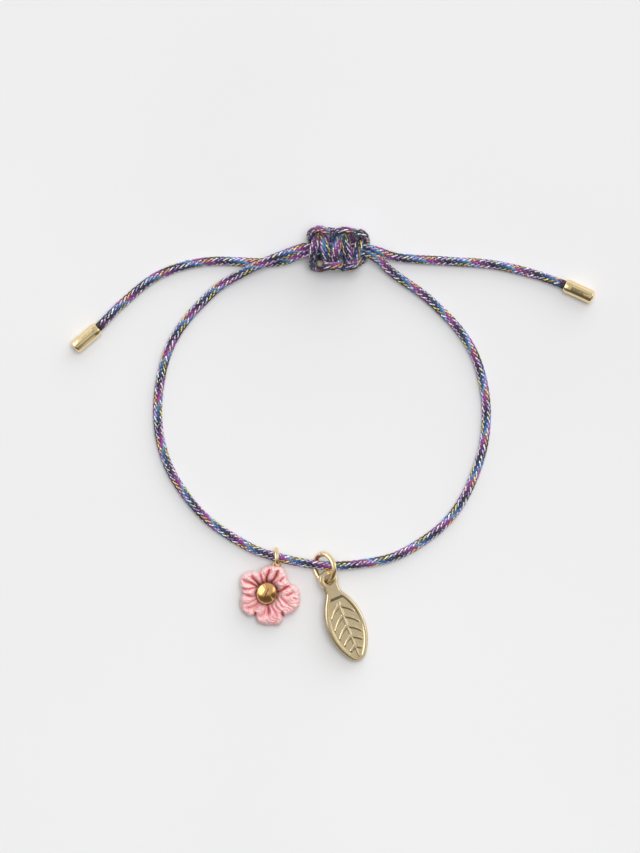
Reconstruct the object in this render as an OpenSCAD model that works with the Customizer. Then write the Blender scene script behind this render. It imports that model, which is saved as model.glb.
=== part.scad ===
// Adjustable cord bracelet with a sliding square knot, two end caps, a flower charm and a leaf tag.
// Millimetres. It lies flat: +Z is up, Z = 0 is the surface, and the loop is open along Z.
// The origin is the middle of the whole outline, at the surface.

/* [Cord] */
// Thickness of the braided cord where it runs free
cord_d = 1.5; // [1.2:0.1:1.6]
// Thickness of the cord where the knot squeezes it
squeezed_d = 1.2; // [1.0:0.02:1.22]
// Thickness of the knot's own cord, pulled tight, where it is round
knot_d = 1.14; // [1.0:0.02:1.16]

/* [Sliding knot] */
// Half knots, counted along the knot
half_knots = 5; // [5:1:5]
// Length that one half knot takes up
half_knot_l = 2.03; // [1.9:0.01:2.1]
// Middle of the side bends from the middle of the knot
bend_reach = 3.26; // [3.1:0.02:3.4]
// Middle of the bars from the middle of the knot, front and back
bar_depth = 2.1; // [1.9:0.05:2.3]

/* [End caps] */
// Outer diameter of a cap
cap_d = 2.5; // [2.1:0.05:2.6]
// Length of a cap
cap_l = 5.6; // [4:0.1:8]
// Diameter of the blind bore that the cord is glued into
cap_bore_d = 1.66; // [1.62:0.02:1.8]
// Depth of that bore
cap_bore_l = 3.4; // [3:0.1:3.6]
// Rounding of the closed end
cap_round = 0.5; // [0.2:0.05:0.8]

/* [Flower] */
// Width of a petal
petal_w = 5.0; // [4.6:0.1:5.2]
// Thickness of the petals
petal_t = 2.0; // [1.6:0.1:2.4]
// Diameter of the domed bead
bead_d = 3.4; // [3:0.1:3.8]
// Height of the bead above its seat
bead_h = 1.9; // [1.4:0.1:2]
// Diameter of the disc behind the petals
disc_d = 6.0; // [5.6:0.2:6.4]
// Thickness of that disc
disc_t = 0.6; // [0.4:0.05:0.7]
// Wire of the eye on the disc
eye_wire = 0.32; // [0.3:0.01:0.34]
// Clear width inside that eye
eye_inner = 0.94; // [0.92:0.01:0.96]
// Tilt of the flower, which hangs from its ring at one side
flower_tilt = 8.5; // [8:0.1:9]

/* [Rings] */
// Outer diameter of the flower's ring
flower_ring_d = 3.75; // [3.7:0.05:3.8]
// Wire of the flower's ring
flower_ring_wire = 0.7; // [0.6:0.02:0.72]
// Outer diameter of the tag's ring
tag_ring_d = 5.8; // [5.6:0.05:6]
// Wire of the tag's ring
tag_ring_wire = 0.85; // [0.7:0.01:0.88]
// Tilt of the tag's ring, which leans on the surface
tag_ring_tilt = 47; // [45:1:49]

/* [Tag] */
// Length of the leaf-shaped body
tag_l = 13.5; // [12:0.1:13.7]
// Width of that body
tag_w = 7.2; // [6.4:0.05:7.4]
// Radius of its two ends
tag_end_r = 2.0; // [1.6:0.1:2.2]
// Thickness of the tag
tag_t = 1.1; // [0.8:0.05:1.15]
// Radius of the eye that carries the tag
tag_eye_r = 1.7; // [1.5:0.05:1.8]
// Diameter of the hole in that eye
tag_hole_d = 1.76; // [1.7:0.02:1.9]
// From the hole to the middle of the body
tag_hole_to_body = 8.8; // [8.4:0.1:9]

/* [Hidden] */

cord_colour = [0.30, 0.27, 0.42];
gold = [0.86, 0.76, 0.50];
pink = [0.91, 0.58, 0.62];
fine = 48;

// Route of the cord's middle line, from inside the left cap, through the knot, round the wrist loop,
// over itself and through the knot again, to inside the right cap
cord_route = [
    [-44.2, 19.05, 1.25], [-42.15, 20.8, 1.25], [-38.1, 24.9, 0.85], [-31.2, 30.3, 0.78],
    [-22.9, 32.7, 0.77], [-12.0, 32.5, 0.88], [-8.9, 32.8, 1.5], [-6.6, 33.6, 2.6],
    [-4.4, 34.18, 2.83], [5.2, 34.19, 2.83], [8.1, 33.1, 2.35], [10.3, 31.1, 1.3],
    [18.4, 25.0, 0.8], [25.0, 17.1, 0.77], [27.6, 7.5, 0.76], [26.6, -2.6, 0.76],
    [21.4, -13.1, 0.76], [12.2, -19.9, 0.78], [3.6, -21.8, 0.95], [-2.9, -21.8, 1.85],
    [-10.0, -20.4, 1.74], [-15.0, -18.6, 0.95], [-23.4, -12.8, 0.8], [-29.7, -3.6, 0.76],
    [-31.45, 6.5, 0.76], [-28.9, 18.1, 0.82], [-21.6, 27.2, 0.95], [-15.2, 31.2, 1.85],
    [-12.0, 32.65, 2.42], [-8.9, 33.9, 2.75], [-6.6, 34.75, 2.83], [-4.4, 35.38, 2.83],
    [4.8, 35.38, 2.83], [8.0, 34.6, 2.4], [11.5, 33.5, 1.3], [19.9, 32.85, 0.84],
    [29.0, 32.15, 0.79], [37.0, 30.25, 0.85], [41.75, 28.5, 1.25], [43.9, 27.5, 1.25]];
// Longest step between two rings of the cord's tube
ring_step = 3.9;
// Sides of the cord's tube
cord_sides = 8;

// Middle of the knot's left end, where the two strands enter
knot_at = [-4.41, 34.8, 2.83];
// The bars lean this far along the knot, and a little more near the bends
bar_lean = 0.95;
bend_lean = 0.1;
// The front and back bars sit this much off the middle
bar_offset = 0.1;
// Steps of the knot's cord in one half knot
knot_steps = 13;
// The closing bar behind the strands, past the last half knot
closing_bar = [half_knots*half_knot_l + 0.72, 0, -1.98];
// First and last turn of the two strands, counted in half knots
front_strand = [0.12, half_knots - 0.1];
back_strand = [half_knots - 0.9, -0.8];
// Share by which a strand's half width grows and shrinks along each half knot
squeeze = 0.24;

// Mouths of the two caps and the directions that they point in
cap_left_mouth = [-42.15, 20.8, 1.25];
cap_left_turn = 220.5;
cap_right_mouth = [41.75, 28.5, 1.25];
cap_right_turn = -24.5;

// Middle of the flower, seen from above, and the direction of its eye
flower_at = [-11.68, -26.45];
flower_turn = -20.8;
// From the middle of the flower to the middle of its eye
eye_reach = 4.83;
// Petals: direction from +X, and reach from the middle of the flower
DIRECTION = 0;
REACH = 1;
petals = [[68, 4.55], [145, 5.4], [218, 5.6], [275, 6.1], [347, 6.1]];
// Air between the disc, the petals and the bead, filled by glue
glue_gap = 0.06;
// Round seat sunk into the petals for the bead
seat_r = 2.1;
seat_z = disc_t + glue_gap + 1.25;

// Middle of the flower's ring, which stands on the surface round the cord
flower_ring_at = [-10.0, -20.48, flower_ring_d/2];
// Middle of the tag's ring, and the lean of its long axis from +Y
tag_ring_at = [-1.4, -22.3];
tag_ring_lean = 12;
tag_ring_middle_r = (tag_ring_d - tag_ring_wire)/2;

// Middle of the tag's hole, the tag's direction from -Y, and how it lies against the surface
tag_at = [-0.8, -24.5, 2.39];
tag_turn = 23;
tag_roll = 18;
tag_pitch = 4.5;
tag_neck_w = 2.8;

// Points of a smooth curve: cubic pieces whose slopes follow the neighbours on each side
function slope(p, i) =
    let (a = p[max(i - 1, 0)], b = p[min(i + 1, len(p) - 1)],
         run = norm(p[i] - a) + norm(b - p[i]))
    (b - a)/run;
function blend(p, i, t) =
    let (chord = norm(p[i + 1] - p[i]))
    (2*t*t*t - 3*t*t + 1)*p[i] + (t*t*t - 2*t*t + t)*chord*slope(p, i)
    + (3*t*t - 2*t*t*t)*p[i + 1] + (t*t*t - t*t)*chord*slope(p, i + 1);
function smooth(p, step) = [
    for (i = [0:len(p) - 2])
        let (n = max(1, ceil(norm(p[i + 1] - p[i])/step)))
        for (k = [0:n - 1]) blend(p, i, k/n),
    p[len(p) - 1]];

// Tube of flat-sided rings square to a list of points
function unit(v) = v/norm(v);
function way(p, i) = unit(p[min(i + 1, len(p) - 1)] - p[max(i - 1, 0)]);
function ring(p, i, outward, half, sides) =
    let (d = way(p, i), side = unit(cross(outward, d)), out = cross(d, side))
    [for (k = [0:sides - 1])
        let (turn = 360*(k + 0.5)/sides)
        p[i] + half[0]*cos(turn)*side + half[1]*sin(turn)*out];
// outward[i] is the side of ring i that faces away from what it lies on, and halves[i] gives its half
// width and half thickness
module tube(p, outward, halves, sides) {
    n = len(p);
    points = [for (i = [0:n - 1]) each ring(p, i, outward[i], halves[i], sides)];
    walls = [for (i = [0:n - 2]) for (k = [0:sides - 1])
        let (a = i*sides + k, b = i*sides + (k + 1) % sides)
        each [[a, a + sides, b + sides], [a, b + sides, b]]];
    start = [for (k = [0:sides - 1]) k];
    end = [for (k = [0:sides - 1]) n*sides - 1 - k];
    polyhedron(points = points, faces = concat(walls, [start, end]), convexity = 10);
}

// The strand whose bars lie in front, at turn t, in half knots; the back strand is its mirror image
function front_bar(t) = [
    half_knot_l*t + bar_lean*sin(360*t) + bend_lean*sin(720*t),
    bend_reach*cos(180*t),
    -bar_offset - bar_depth*cos(360*t)];
function back_bar(t) = let (p = front_bar(t)) [p.x + half_knot_l, p.y, -p.z];
function turns(span) =
    let (n = round(abs(span[1] - span[0])*knot_steps))
    [for (i = [0:n]) span[0] + (span[1] - span[0])*i/n];
// The closing bar joins the two strands behind the last half knot
function closing_turn() =
    let (p = smooth([front_bar(front_strand[1]), closing_bar + [-0.25, -1.9, 0.05], closing_bar,
                     closing_bar + [0.05, 1.9, 0.15], closing_bar + [0.1, 3.0, 1.8],
                     back_bar(back_strand[0])], 0.9))
    [for (i = [1:len(p) - 2]) p[i]];
// Strands press each other thin where they pass side by side, and spread where they lie as bars
function strand_half(t) =
    let (half = knot_d/2*(0.94 + squeeze*cos(720*t)))
    [half, knot_d*knot_d/4/half];
function inside_knot(p) =
    p.y > 30 && p.x > knot_at.x - 0.3 && p.x < knot_at.x + closing_bar.x + 0.2;

module cord() {
    p = smooth(cord_route, ring_step);
    color(cord_colour)
        tube(p, [for (q = p) [0, 0, 1]],
             [for (q = p) (inside_knot(q) ? squeezed_d : cord_d)/2*[1, 1]], cord_sides);
}

// A short piece of cord tied round both strands, one end to the other
module knot_cord() {
    front = turns(front_strand);
    back = turns(back_strand);
    closing = closing_turn();
    p = concat([for (t = front) front_bar(t)], closing, [for (t = back) back_bar(t)]);
    halves = concat([for (t = front) strand_half(t)], [for (q = closing) knot_d/2*[1, 1]],
                    [for (t = back) strand_half(t)]);
    color(cord_colour) translate(knot_at)
        tube(p, [for (q = p) [0, q.y, q.z]], halves, cord_sides);
}

// Drawn metal cap: a cylinder with a rounded closed end and a blind bore at the mouth
module cap(mouth, turn) {
    color(gold) translate(mouth) rotate([0, 90, turn]) difference() {
        union() {
            cylinder(d = cap_d, h = cap_l - cap_round, $fn = fine);
            translate([0, 0, cap_l - cap_round]) {
                rotate_extrude($fn = fine) translate([cap_d/2 - cap_round, 0])
                    intersection() {
                        circle(r = cap_round, $fn = fine);
                        square(cap_round);
                    }
                cylinder(r = cap_d/2 - cap_round, h = cap_round, $fn = fine);
            }
        }
        translate([0, 0, -1]) cylinder(d = cap_bore_d, h = cap_bore_l + 1, $fn = fine);
    }
}

// The flower's own frame: its back at Z = 0, its eye on +Y
module place_flower() {
    lift = disc_d/2*sin(flower_tilt);
    translate([flower_at.x, flower_at.y, lift]) rotate([0, 0, flower_turn])
        rotate([flower_tilt, 0, 0]) children();
}
// One petal: a flat disc with a rounded edge
module petal_button(w, t) {
    rotate_extrude($fn = fine) {
        square([w/2 - t/2, t]);
        translate([w/2 - t/2, t/2]) intersection() {
            circle(d = t, $fn = fine);
            translate([0, -t/2]) square([t/2, t]);
        }
    }
}
module flower_petals() {
    color(pink) place_flower() translate([0, 0, disc_t + glue_gap]) difference() {
        union() {
            for (petal = petals)
                rotate([0, 0, petal[DIRECTION] - flower_turn])
                    translate([petal[REACH] - petal_w/2, 0, 0]) petal_button(petal_w, petal_t);
            cylinder(r = seat_r + 1, h = petal_t - 0.1, $fn = fine);
        }
        translate([0, 0, seat_z - disc_t - glue_gap])
            cylinder(r = seat_r, h = petal_t, $fn = fine);
    }
}
module flower_bead() {
    dome_r = (bead_d*bead_d/4 + bead_h*bead_h)/(2*bead_h);
    color(gold) place_flower() translate([0, 0, seat_z + glue_gap]) intersection() {
        translate([0, 0, bead_h - dome_r]) sphere(r = dome_r, $fn = fine);
        cylinder(d = bead_d, h = bead_h + 1, $fn = fine);
    }
}
// Disc, stem and eye are soldered, so they are one solid
module flower_mount() {
    eye_middle_r = (eye_inner + eye_wire)/2;
    stem_w = 0.9;
    color(gold) place_flower() {
        cylinder(d = disc_d, h = disc_t, $fn = fine);
        translate([-stem_w/2, disc_d/2 - 0.4, disc_t/2 - eye_wire/2])
            cube([stem_w, eye_reach - eye_middle_r - disc_d/2 + 0.4, eye_wire]);
        translate([0, eye_reach, disc_t/2]) rotate_extrude($fn = fine)
            translate([eye_middle_r, 0]) circle(d = eye_wire, $fn = fine);
    }
}

// Round wire bent to a closed ring, lying in its own XY plane
module wire_ring(outer_d, wire) {
    rotate_extrude($fn = fine) translate([(outer_d - wire)/2, 0]) circle(d = wire, $fn = fine);
}
module flower_ring() {
    color(gold) translate(flower_ring_at) rotate([0, 90, 0])
        wire_ring(flower_ring_d, flower_ring_wire);
}
module tag_ring() {
    lift = tag_ring_middle_r*sin(tag_ring_tilt) + tag_ring_wire/2;
    color(gold) translate([tag_ring_at.x, tag_ring_at.y, lift]) rotate([0, 0, tag_ring_lean])
        rotate([0, -tag_ring_tilt, 0]) wire_ring(tag_ring_d, tag_ring_wire);
}

// Leaf outline: two long side arcs, met without a corner by a round end at each tip
module leaf_outline() {
    half_l = tag_l/2;
    half_w = tag_w/2;
    end_x = half_l - tag_end_r;
    side_r = (half_w*half_w + end_x*end_x - tag_end_r*tag_end_r)/(2*(half_w - tag_end_r));
    touch_x = end_x*side_r/(side_r - tag_end_r);
    intersection() {
        translate([0, side_r - half_w]) circle(r = side_r, $fn = 2*fine);
        translate([0, half_w - side_r]) circle(r = side_r, $fn = 2*fine);
        square([2*touch_x, tag_w], center = true);
    }
    for (x = [-end_x, end_x]) translate([x, 0]) circle(r = tag_end_r, $fn = fine);
}
module tag() {
    color(gold) translate(tag_at) rotate([0, 0, tag_turn - 90]) rotate([-tag_roll, 0, 0])
        rotate([0, tag_pitch, 0]) difference() {
            translate([0, 0, -tag_t/2]) linear_extrude(tag_t) {
                translate([tag_hole_to_body, 0]) leaf_outline();
                circle(r = tag_eye_r, $fn = fine);
                translate([0, -tag_neck_w/2]) square([tag_hole_to_body - tag_l/4, tag_neck_w]);
            }
            cylinder(d = tag_hole_d, h = 2*tag_t, center = true, $fn = fine);
        }
}

cord();
knot_cord();
cap(cap_left_mouth, cap_left_turn);  // cap_left
cap(cap_right_mouth, cap_right_turn);  // cap_right
flower_petals();
flower_bead();
flower_mount();
flower_ring();
tag_ring();
tag();
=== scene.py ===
"""Braided cord bracelet with a sliding square knot, gold end caps, a flower charm and a leaf tag.

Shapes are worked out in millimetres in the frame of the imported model, where +Z is up from the surface
that the bracelet lies on, and go into their meshes in metres. Each shape is a grid of points worked
out all at once, and surface() makes its mesh.
"""

import bpy
import numpy as np
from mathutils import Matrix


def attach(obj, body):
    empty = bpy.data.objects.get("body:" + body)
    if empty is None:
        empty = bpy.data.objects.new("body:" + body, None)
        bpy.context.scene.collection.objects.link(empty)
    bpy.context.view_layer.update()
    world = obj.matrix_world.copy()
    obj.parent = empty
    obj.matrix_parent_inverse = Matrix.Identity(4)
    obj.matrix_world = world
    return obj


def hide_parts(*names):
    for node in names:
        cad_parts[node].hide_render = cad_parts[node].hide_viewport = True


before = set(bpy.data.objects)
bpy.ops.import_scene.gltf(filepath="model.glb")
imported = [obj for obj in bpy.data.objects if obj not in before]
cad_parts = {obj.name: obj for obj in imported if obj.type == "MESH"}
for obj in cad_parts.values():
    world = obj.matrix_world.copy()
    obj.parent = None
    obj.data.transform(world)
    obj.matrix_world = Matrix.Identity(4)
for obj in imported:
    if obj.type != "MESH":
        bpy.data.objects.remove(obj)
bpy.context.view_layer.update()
MM = 0.001
TURN = 2 * np.pi

# The photograph's frame: its middle and its height, in the part's own millimetres, and how far above
# it the camera stands
VIEW_MIDDLE = (-2.25, 3.06)
VIEW_HEIGHT = 153.54
CAMERA_HEIGHT = 1000

# The main cord's middle line, from inside the left cap to inside the right one
CORD_ROUTE = [
    (-44.2, 19.05, 1.25), (-42.15, 20.8, 1.25), (-38.1, 24.9, 0.85), (-31.2, 30.3, 0.78),
    (-22.9, 32.7, 0.77), (-12.0, 32.5, 0.88), (-8.9, 32.8, 1.5), (-6.6, 33.6, 2.6),
    (-4.4, 34.18, 2.83), (5.2, 34.19, 2.83), (8.1, 33.1, 2.35), (10.3, 31.1, 1.3),
    (18.4, 25.0, 0.8), (25.0, 17.1, 0.77), (27.6, 7.5, 0.76), (26.6, -2.6, 0.76),
    (21.4, -13.1, 0.76), (12.2, -19.9, 0.78), (3.6, -21.8, 0.95), (-2.9, -21.8, 1.85),
    (-10.0, -20.4, 1.74), (-15.0, -18.6, 0.95), (-23.4, -12.8, 0.8), (-29.7, -3.6, 0.76),
    (-31.45, 6.5, 0.76), (-28.9, 18.1, 0.82), (-21.6, 27.2, 0.95), (-15.2, 31.2, 1.85),
    (-12.0, 32.65, 2.42), (-8.9, 33.9, 2.75), (-6.6, 34.75, 2.83), (-4.4, 35.38, 2.83),
    (4.8, 35.38, 2.83), (8.0, 34.6, 2.4), (11.5, 33.5, 1.3), (19.9, 32.85, 0.84),
    (29.0, 32.15, 0.79), (37.0, 30.25, 0.85), (41.75, 28.5, 1.25), (43.9, 27.5, 1.25)]
# Its thickness where it runs free and inside the knot, and the stretch over which that changes
CORD_D = 1.5
SQUEEZED_D = 1.24
SQUEEZE_EASE = 1.2
# The cord's tone, and the distance along it where it is painted paler, as painted light on the right side
# of the loop, by how much and how far that is felt
CORD_TONE = 1.16
KNOT_TONE = 1.08
PALER_AT, PALER_BY, PALER_REACH = 98, 0.15, 28

# The sliding knot: its left end, then the number, length, reach and depth of its half knots, how its
# bars and bends lean and how far the bars are drawn in, the middle of the bar that closes it behind,
# and the thickness of its cord
KNOT_AT = (-4.41, 34.8, 2.83)
HALF_KNOTS = 5
HALF_KNOT_L = 2.03
BEND_REACH = 3.26
BAR_DEPTH = 2.1
BAR_LEAN = 0.95
BEND_LEAN = 0.1
BAR_OFFSET = 0.1
CLOSING_BAR = (HALF_KNOTS * HALF_KNOT_L + 0.72, 0, -1.98)
KNOT_D = 1.42
# Where the hand-tied knot strays from an even one: a place, the tug there and how far it is felt
TUGS = [((-2.4, 38.2), (0.05, 0.35, 0.1), 1.5), ((2.0, 38.2), (0.55, 0.15, 0.1), 1.6),
        ((5.7, 38.2), (-0.45, -0.3, 0.1), 1.5), ((5.9, 31.6), (-1.0, 0.5, 0.3), 1.7),
        ((7.0, 35.0), (-0.7, 0.0, 0.0), 1.9), ((0.4, 31.4), (0.5, 0.25, 0.1), 1.5),
        ((6.7, 37.9), (-0.6, -0.6, 0.0), 1.1), ((5.0, 38.2), (0.0, 0.1, 0.25), 0.9),
        ((-4.6, 33.4), (0.15, 0.1, 0.0), 1.2), ((-4.4, 37.2), (-0.3, 0.0, 0.0), 1.2)]

# The braid: eight dull yarns wind one way and eight metallic ones the other, over two and under two.
# Each yarn is as wide and as thick as said, is lifted where it crosses over, and stands proud of the
# cord's thickness by its crown. The core takes up a share of that thickness.
CARRIERS = 8
BRAID_PITCH = 8.0
KNOT_BRAID_PITCH = 9.0
YARN_STEP = 0.145
YARN_SIDES = 6
YARN_LIFT = 0.085
PRESSED_FLAT = 0.01
YARN_CROWN = 0.07
CORE_SHARE = 0.74
DULL_YARN = (0.47, 0.25)
METALLIC_YARN = (0.27, 0.18)

# How far from its axis a turned profile stops, where a small face closes it
POLE_R = 0.02
# Caps: their sizes, with the bore, the roundings and the dimple in the closed end, then the mouth and
# the direction of each
CAP_D = 2.5
CAP_L = 5.6
CAP_BORE_R = 0.8
CAP_BORE_L = 1.6
CAP_RIM_R = 0.15
CAP_SHOULDER_R = 0.5
DIMPLE_R = 0.42
DIMPLE_EDGE_R = 0.08
DIMPLE_DEPTH = 0.24
CAPS = {"cap_left": ((-42.15, 20.8, 1.25), 220.5), "cap_right": ((41.75, 28.5, 1.25), -24.5)}

# Flower: its middle, the direction of its eye and its tilt
FLOWER_AT = (-11.68, -26.45)
FLOWER_TURN = -20.8
FLOWER_TILT = 8.5
# Its disc, the eye that the disc's stem carries, and its bead, which is stretched to an oval
DISC_D = 6.0
DISC_T = 0.6
DISC_EDGE_R = 0.15
EYE_REACH = 4.83
EYE_WIRE = 0.32
EYE_MIDDLE_R = 0.63
BEAD_D = 3.4
BEAD_H = 1.9
BEAD_Z = 1.97
BEAD_CROWN = 0.6
BEAD_SHOULDER_R = 0.5
BEAD_FOOT_R = 0.15
BEAD_STRETCH = (0.95, 1.06, 1)
# The petals' outline: directions from the bead's middle, in degrees, and how far it reaches there
RIM = [(-7, 5.97), (6, 5.76), (15, 5.4), (24, 4.5), (37, 4.6), (53, 5.3), (64, 5.48), (76, 5.3),
       (89, 5.05), (99, 4.7), (107, 4.2), (115, 4.4), (127, 5.0), (141, 5.5), (150, 5.5), (162, 5.05),
       (172, 4.6), (179, 4.35), (187, 4.7), (196, 5.05), (208, 5.4), (220, 5.4), (231, 5.2), (240, 4.7),
       (247, 4.9), (254, 5.5), (266, 5.7), (277, 5.75), (288, 6.0), (297, 5.85), (306, 5.15), (319, 5.6),
       (332, 6.05), (343, 6.12)]
RIM_SHIFT = (-0.03, -0.38, 0)
# Creases: where each starts and where it ends, as direction and distance, and how deep it is
CREASES = [(91, 1.9, 86, 4.5, 1.0), (68, 1.9, 62, 4.7, 1.0), (44, 3.4, 42, 4.4, 0.6),
           (2, 1.7, 25, 4.6, 0.95), (-2, 3.6, 2, 4.7, 0.55), (345, 2.6, 331, 4.2, 0.55),
           (352, 5.0, 352, 5.6, 0.4), (307, 2.6, 309, 4.6, 0.4), (309, 4.3, 309, 6.0, 1.0),
           (290, 2.2, 293, 4.3, 0.5), (272, 1.6, 273, 3.9, 0.95), (266, 2.2, 257, 4.2, 0.5),
           (238, 4.0, 240, 5.4, 1.0), (230, 2.2, 237, 4.4, 0.5), (228, 2.2, 217, 4.5, 0.6),
           (214, 2.0, 203, 4.2, 0.4), (192, 2.4, 179, 4.5, 0.6), (158, 2.1, 167, 4.6, 0.6),
           (150, 2.0, 146, 4.9, 0.95), (138, 1.9, 128, 4.2, 1.0), (112, 2.0, 108, 4.3, 0.65),
           (56, 2.0, 50, 3.6, 0.4), (324, 1.9, 322, 3.6, 0.35), (100, 2.2, 97, 4.0, 0.3)]

# Wire rings: middle, outer diameter, wire, the turns that stand them up, and the cut in each
FLOWER_RING_AT = (-10.0, -20.48, 1.89)
FLOWER_RING_D = 3.78
FLOWER_RING_WIRE = 0.78
FLOWER_RING_LEAN = 5
RING_CUT = 0.04
TAG_RING_D = 5.9
TAG_RING_WIRE = 0.95
TAG_RING_TILT = 47
TAG_RING_LEAN = 12
TAG_RING_AT = (-1.4, -22.3)

# Tag: middle of its hole, its direction from -Y and how it lies, then its sizes
TAG_AT = (-0.8, -24.5, 2.39)
TAG_TURN = 23
TAG_ROLL = 18
TAG_PITCH = 4.5
TAG_L = 13.5
TAG_W = 7.2
TAG_END_R = 2.0
TAG_T = 1.1
TAG_EYE_R = 1.7
TAG_HOLE_D = 1.76
TAG_HOLE_TO_BODY = 8.8
TAG_NECK_W = 2.8
TAG_EDGE_R = 0.4
# Its sunk field and the veins in it: from where to where each sets in, inwards from the edge and along
# the tag, then the first side vein's place, their step and their number
TAG_FIELD_DEPTH = 0.2
FIELD_IN = (0.62, 0.88)
FIELD_ALONG = (3.3, 3.9)
VEINS_IN = (1.0, 1.4)
VEINS_ALONG = (4.2, 4.7)
FIRST_VEIN_AT = 5.0
VEIN_STEP = 1.95
SIDE_VEINS = 5

# Light: where the daylight comes from, its breadth in radians, and its strength
DAYLIGHT_FROM = (0.12, 0.15, 1.1)
DAYLIGHT_BREADTH = 0.69
DAYLIGHT_STRENGTH = 1.82
# What each cap's barrel mirrors: the way along the cap, how thin the mirrored band is, and the tones
# from one side of the cap to the other
BARREL_BANDS = [
    ((0.76, 0.649), 280, [(0.0, 1.1), (0.05, 0.62), (0.2, 0.55), (0.36, 0.65), (0.55, 1.0), (0.66, 0.7),
                          (0.76, 0.38), (0.88, 0.33), (0.97, 0.6), (1.0, 0.8)]),
    ((0.91, -0.415), 420, [(0.0, 1.2), (0.04, 0.68), (0.12, 0.7), (0.25, 0.72), (0.33, 0.3), (0.39, 0.08),
                           (0.95, 0.1), (0.99, 0.16), (1.0, 0.4)])]


def light(red, green, blue):
    """The linear colour of display values from 0 to 255."""
    c = np.array([red, green, blue]) / 255
    return tuple(np.where(c <= 0.04045, c / 12.92, ((c + 0.055) / 1.055) ** 2.4))


# The dye of each dull yarn and of each metallic one, and the tone of a cord end soaked with glue
DULL_DYES = [light(*c) for c in (
    (150, 66, 138), (96, 136, 176), (46, 100, 150), (38, 62, 104),
    (30, 54, 66), (40, 34, 58), (84, 46, 100), (122, 54, 124))]
METALLIC_DYES = [light(*c) for c in (
    (236, 234, 244), (206, 168, 226), (222, 220, 236), (236, 224, 130),
    (226, 178, 112), (236, 234, 244), (190, 158, 222), (228, 214, 190))]
GLUED = light(22, 24, 36)


def unit(v):
    """Vectors over their own lengths."""
    return v / np.linalg.norm(v, axis=-1, keepdims=True)


def rise(x, low, high):
    """0 below low, 1 above high and a smooth S between."""
    t = np.clip((x - low) / (high - low), 0, 1)
    return t * t * (3 - 2 * t)


def turned(points, x=0, y=0, z=0):
    """Points turned about X, then Y, then Z, by angles in degrees."""
    for axis, angle in enumerate((x, y, z)):
        c, s = np.cos(np.radians(angle)), np.sin(np.radians(angle))
        a, b = (axis + 1) % 3, (axis + 2) % 3
        turn = np.eye(3)
        turn[a, a], turn[a, b], turn[b, a], turn[b, b] = c, -s, s, c
        points = points @ turn.T
    return points


def smooth(points, step):
    """Cubic pieces through the points. The slope at a point is the way from the one before it to the
    one after it, over the lengths of the two chords between them."""
    p = np.asarray(points, float)
    before, after = np.vstack([p[:1], p[:-1]]), np.vstack([p[1:], p[-1:]])
    run = np.linalg.norm(p - before, axis=1) + np.linalg.norm(after - p, axis=1)
    slope = (after - before) / run[:, None]
    chord = np.linalg.norm(np.diff(p, axis=0), axis=1)
    counts = np.ceil(chord / step).astype(int)
    span = np.repeat(np.arange(len(chord)), counts)
    first = np.repeat(np.cumsum(counts) - counts, counts)
    t = ((np.arange(counts.sum()) - first) / counts[span])[:, None]
    pull = chord[span, None]
    curve = ((2 * t**3 - 3 * t**2 + 1) * p[span] + (3 * t**2 - 2 * t**3) * p[span + 1]
             + (t**3 - 2 * t**2 + t) * pull * slope[span] + (t**3 - t**2) * pull * slope[span + 1])
    return np.vstack([curve, p[-1:]])


def travelled(path):
    """The distance run along a path at each of its points."""
    return np.r_[0, np.cumsum(np.linalg.norm(np.diff(path, axis=0), axis=1))]


def evenly(path, step, *others):
    """The path, and whatever goes with its points, read again at even distances."""
    run = travelled(path)
    at = np.linspace(0, run[-1], int(np.ceil(run[-1] / step)) + 1)
    return [np.stack([np.interp(at, run, column) for column in values.T], axis=1)
            for values in (path, *others)]


def upwards(path):
    """Straight up, at each point of a path."""
    return np.tile([0.0, 0.0, 1.0], (len(path), 1))


def surface(name, points, rings=False, lay=None, dye=None):
    """A mesh over strips of points, indexed by strip, row and column. Columns go round and join up.
    Each strip's first and last rows are closed by a face, or joined to each other in rings. lay is the
    distance that each row has run, for the second coordinate of the UV map, whose first one goes round.
    dye is a colour for each point."""
    points = np.asarray(points, float)
    points = points[None] if points.ndim == 3 else points
    strips, rows, columns = points.shape[:3]
    strip, row, column = np.ogrid[:strips, :rows if rings else rows - 1, :columns]
    corners = [(0, 0), (0, 1), (1, 1), (1, 0)]
    quads = np.stack(np.broadcast_arrays(*(
        (strip * rows + (row + i) % rows) * columns + (column + k) % columns
        for i, k in corners)), -1).reshape(-1, 4)
    faces = quads.tolist()
    if not rings:
        start = np.arange(strips)[:, None] * rows * columns
        faces += (start + np.arange(columns)[::-1]).tolist()
        faces += (start + (rows - 1) * columns + np.arange(columns)).tolist()
    mesh = bpy.data.meshes.new(name)
    mesh.from_pydata((points.reshape(-1, 3) * MM).tolist(), [], faces)
    mesh.shade_smooth()
    if lay is not None:
        shape = np.broadcast(strip, row, column).shape
        uv = np.zeros((len(mesh.loops), 2))
        uv[:quads.size, 0] = np.stack([np.broadcast_to((column + k) / columns, shape)
                                       for _, k in corners], -1).ravel()
        uv[:quads.size, 1] = np.stack([np.broadcast_to(lay[row + i], shape)
                                       for i, _ in corners], -1).ravel()
        mesh.uv_layers.new(name="lay").data.foreach_set("uv", uv.ravel())
    if dye is not None:
        colours = np.ones((points.size // 3, 4))
        colours[:, :3] = dye.reshape(-1, 3)
        mesh.color_attributes.new("dye", "FLOAT_COLOR", "POINT").data.foreach_set(
            "color", colours.ravel())
    piece = bpy.data.objects.new(name, mesh)
    bpy.context.collection.objects.link(piece)
    return piece


def finished(piece, made, slot, *nodes):
    """The piece with the material made for it, riding on the bracelet in place of the CAD nodes."""
    piece.data.materials.append(made)
    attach(piece, "root")
    if nodes:
        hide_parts(*nodes)
    return piece


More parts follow.
